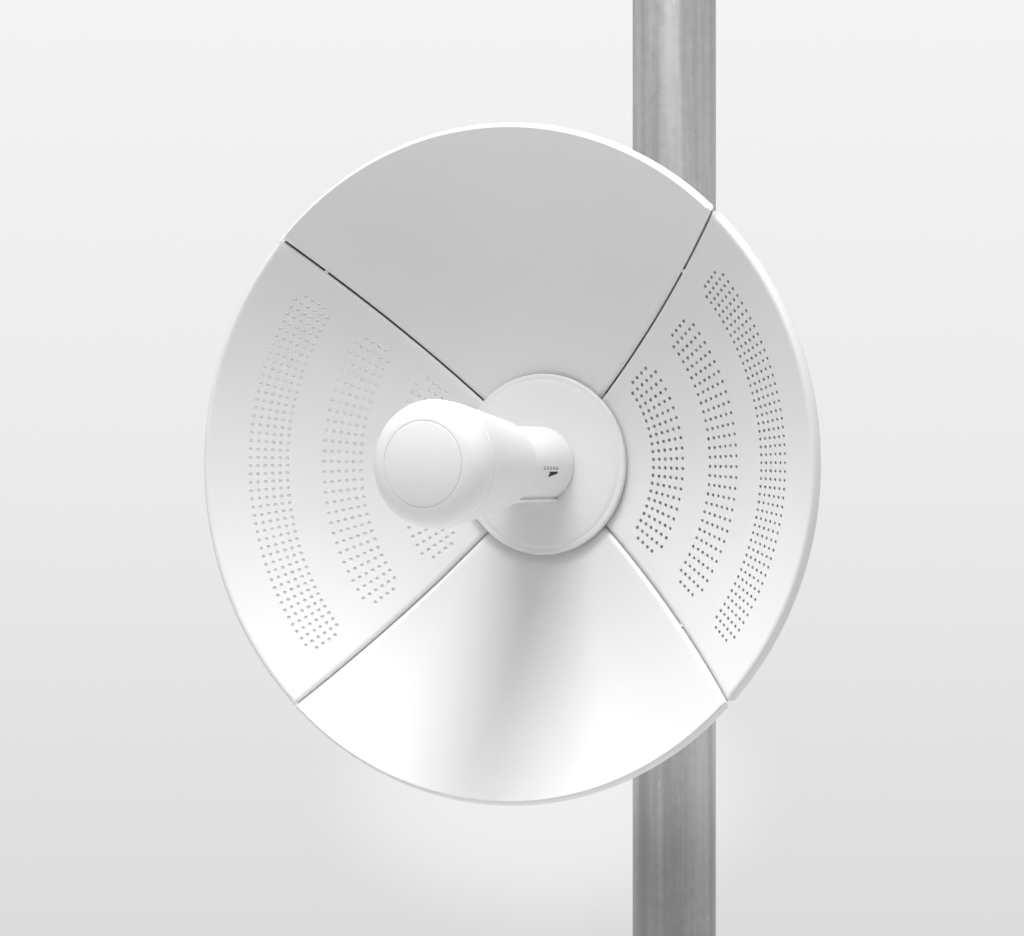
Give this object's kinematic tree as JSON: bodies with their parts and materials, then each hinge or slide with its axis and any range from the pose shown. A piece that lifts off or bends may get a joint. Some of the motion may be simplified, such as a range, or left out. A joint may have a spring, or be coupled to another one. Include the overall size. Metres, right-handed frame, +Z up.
{
  "type": "wireless dish antenna on a pole",
  "caption": "Round four-panel parabolic reflector with perforated side panels and a feed tube on its axis, held by a tilting bracket and V clamp on a galvanised pole.",
  "frame": {"origin": "centre of the pole's lower end face", "axes": "+Z up along the pole; the dish looks along -Y; +X to the right seen from in front of the dish along +Y"},
  "size_m": [0.453, 0.4769, 1.0043],
  "materials": {
    "white_panel": "matt white powder coat",
    "white_plastic": "satin white moulding",
    "galvanised_steel": "weathered hot-dip galvanised, streaked along the pole",
    "bright_steel": "zinc plated",
    "cast_aluminium": "bare die casting",
    "grey_plastic": "moulded grey",
    "lens_plastic": "translucent indicator windows"
  },
  "bodies": {
    "mast": {"pole_tube": "galvanised_steel", "pole_end_plug": "galvanised_steel", "pole_cap": "grey_plastic"},
    "clamp": {"clamp_saddle": "cast_aluminium", "clamp_rear_jaw": "cast_aluminium", "clamp_bolt_lower_left": "bright_steel", "clamp_bolt_lower_right": "bright_steel", "clamp_bolt_upper_left": "bright_steel", "clamp_bolt_upper_right": "bright_steel", "bracket_yoke": "bright_steel", "pivot_washer_left": "bright_steel", "pivot_washer_right": "bright_steel", "pivot_bolt": "bright_steel"},
    "dish": {"tilt_bracket": "bright_steel", "lock_bolt": "bright_steel", "hub_housing": "white_plastic", "hub_plate": "white_plastic", "panel_right": "white_panel", "panel_top": "white_panel", "panel_left": "white_panel", "panel_bottom": "white_panel", "seam_strip_1": "white_plastic", "seam_strip_2": "white_plastic", "seam_strip_3": "white_plastic", "seam_strip_4": "white_plastic", "feed_tube": "white_plastic", "port_cover": "white_plastic", "feed_bulb": "white_plastic", "feed_cap": "white_plastic", "cap_disc": "white_plastic", "indicator_lens_1": "lens_plastic", "indicator_lens_2": "lens_plastic", "indicator_lens_3": "lens_plastic", "indicator_lens_4": "lens_plastic", "indicator_lens_5": "lens_plastic"}
  },
  "joints": [
    {"name": "clamp_swivel", "type": "hinge", "parent": "mast", "child": "clamp", "pos_m": [0, 0, 0.5], "axis": [0, 0, 1], "continuous": true},
    {"name": "dish_tilt", "type": "hinge", "parent": "clamp", "child": "dish", "pos_m": [0, -0.104, 0.484], "axis": [-1, 0, 0], "range_deg": [-15, 15]}
  ]
}
